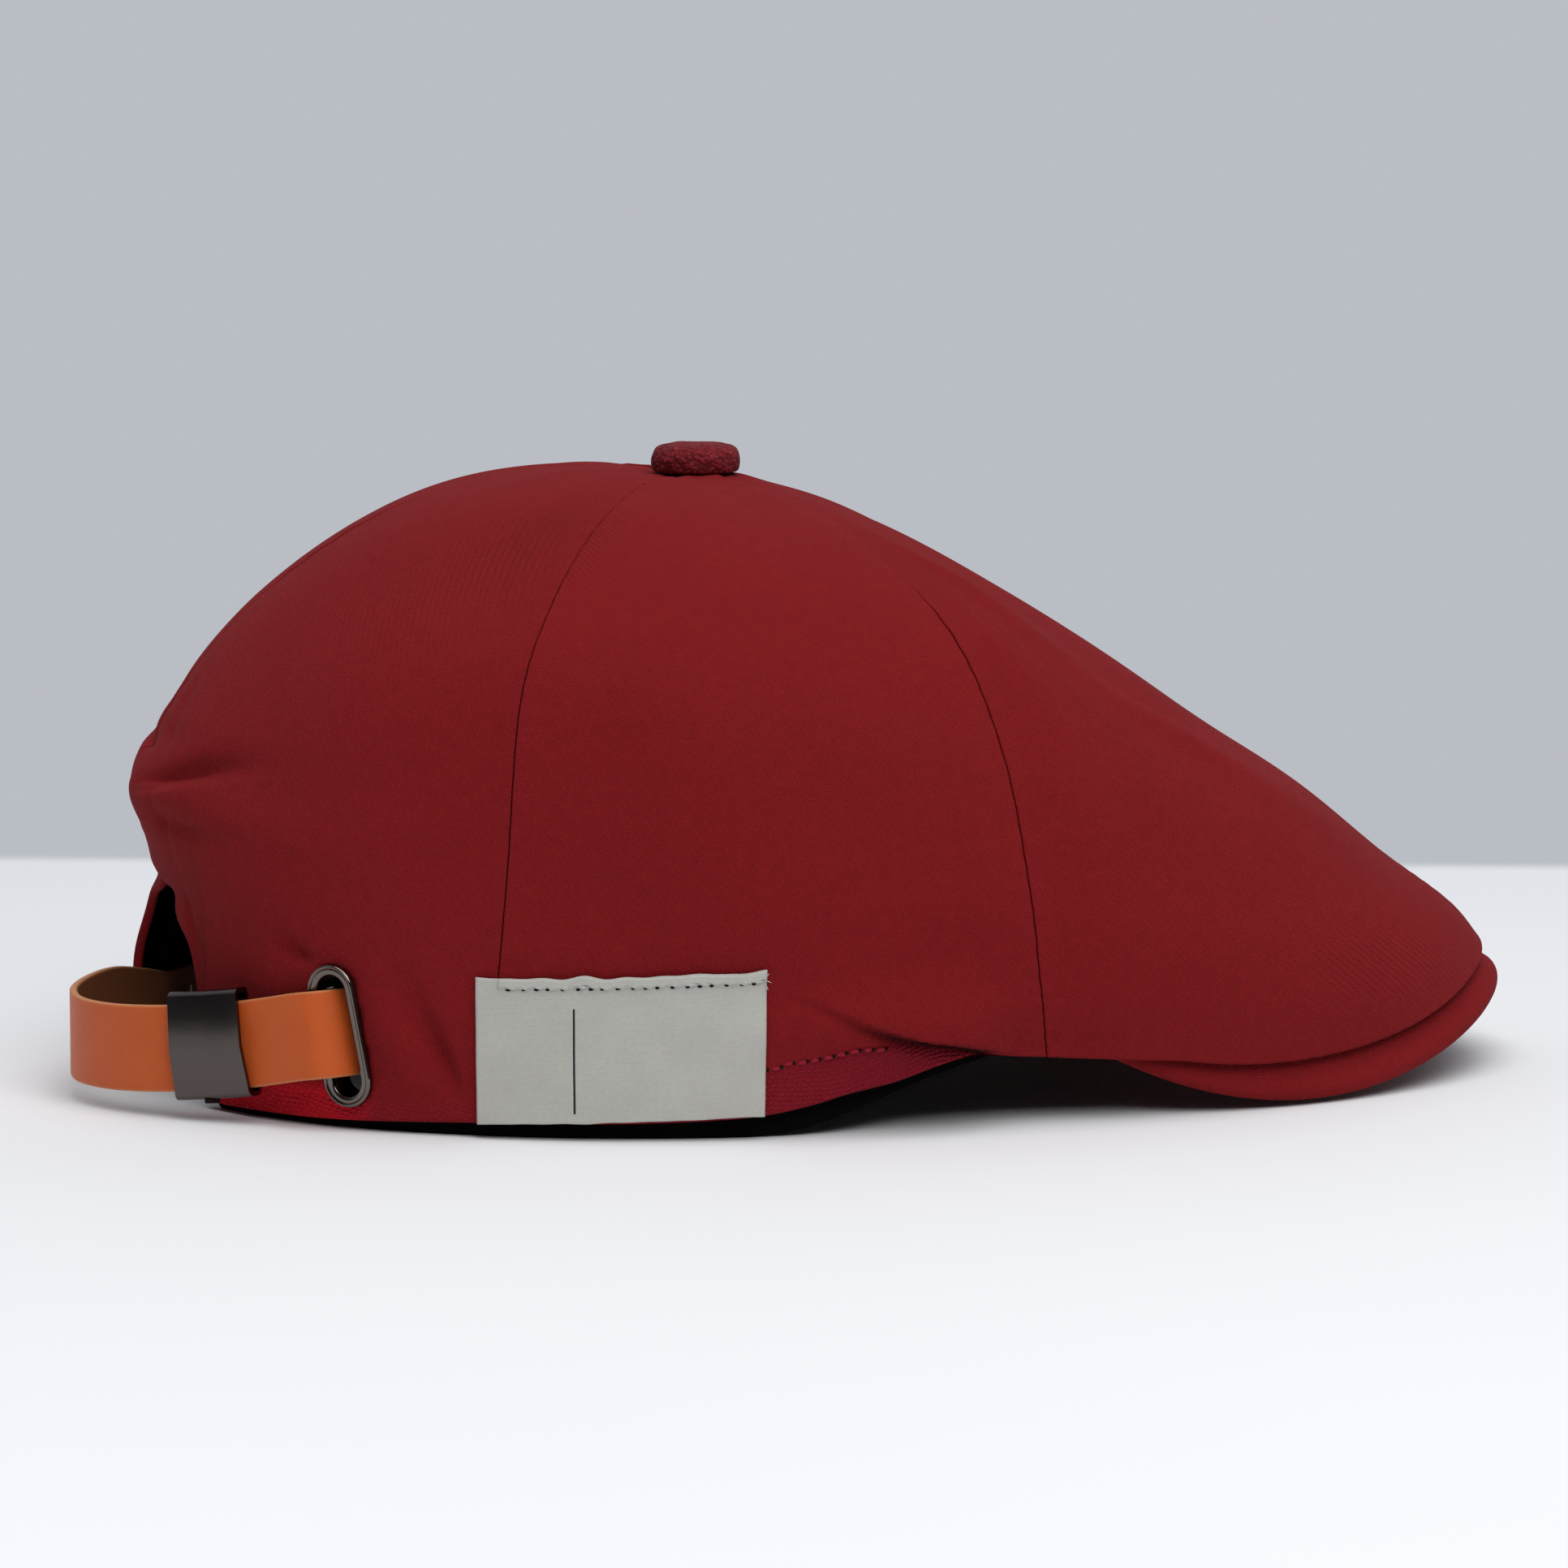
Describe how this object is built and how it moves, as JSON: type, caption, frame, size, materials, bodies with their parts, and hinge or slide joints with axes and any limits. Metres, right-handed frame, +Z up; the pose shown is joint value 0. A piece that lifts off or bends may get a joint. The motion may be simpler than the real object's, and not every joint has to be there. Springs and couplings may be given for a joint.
{
  "type": "flat cap",
  "caption": "Panelled flat cap with a covered button, stiff curved peak, plain side label and leather strap through an oval eyelet across the back opening.",
  "frame": {"origin": "middle of the bounding box in plan, at its lowest level", "axes": "+X forwards to the tip of the peak, +Y to the wearer's left, +Z up"},
  "size_m": [0.2932, 0.1759, 0.1274],
  "materials": {
    "burgundy_twill": "matt cotton twill",
    "black_cloth": "matt cloth",
    "grey_woven_label": "smooth woven",
    "tan_leather": "smooth, semi matt",
    "gunmetal": "dark plated"
  },
  "bodies": {
    "root": {"front_panel_right": "burgundy_twill", "front_panel_left": "burgundy_twill", "side_panel_right": "burgundy_twill", "side_panel_left": "burgundy_twill", "back_panel_right": "burgundy_twill", "back_panel_left": "burgundy_twill", "peak": "burgundy_twill", "button": "burgundy_twill", "sweatband": "black_cloth", "label": "grey_woven_label", "strap": "tan_leather", "slider": "gunmetal", "eyelet": "gunmetal"}
  },
  "joints": []
}
